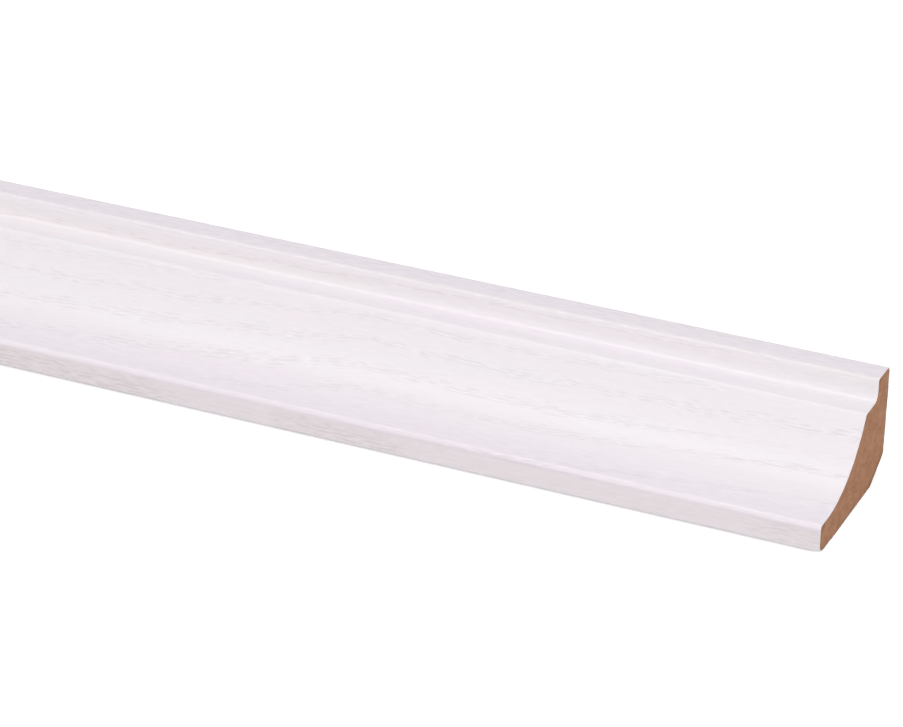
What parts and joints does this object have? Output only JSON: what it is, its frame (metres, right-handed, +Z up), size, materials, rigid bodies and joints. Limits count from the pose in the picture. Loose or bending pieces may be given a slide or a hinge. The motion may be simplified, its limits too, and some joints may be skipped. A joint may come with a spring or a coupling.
{
  "type": "crown moulding length",
  "caption": "Straight length of cove crown moulding: moulded fibreboard wrapped in white wood-grain foil, cut square, with two contact faces at right angles.",
  "frame": {"origin": "centre of the ceiling face's plane, below the middle of the bounding box", "axes": "+X along the length, +Y out of the wall face, +Z up with the moulding lying on its ceiling face"},
  "size_m": [0.225, 0.042, 0.026],
  "materials": {
    "fibreboard": "bare medium-density fibreboard, saw-cut at the ends, planed on the contact faces",
    "decor_foil": "satin white foil printed and embossed with a light ash grain"
  },
  "bodies": {
    "root": {"mdf_core": "fibreboard", "foil_wrap": "decor_foil"}
  },
  "joints": []
}
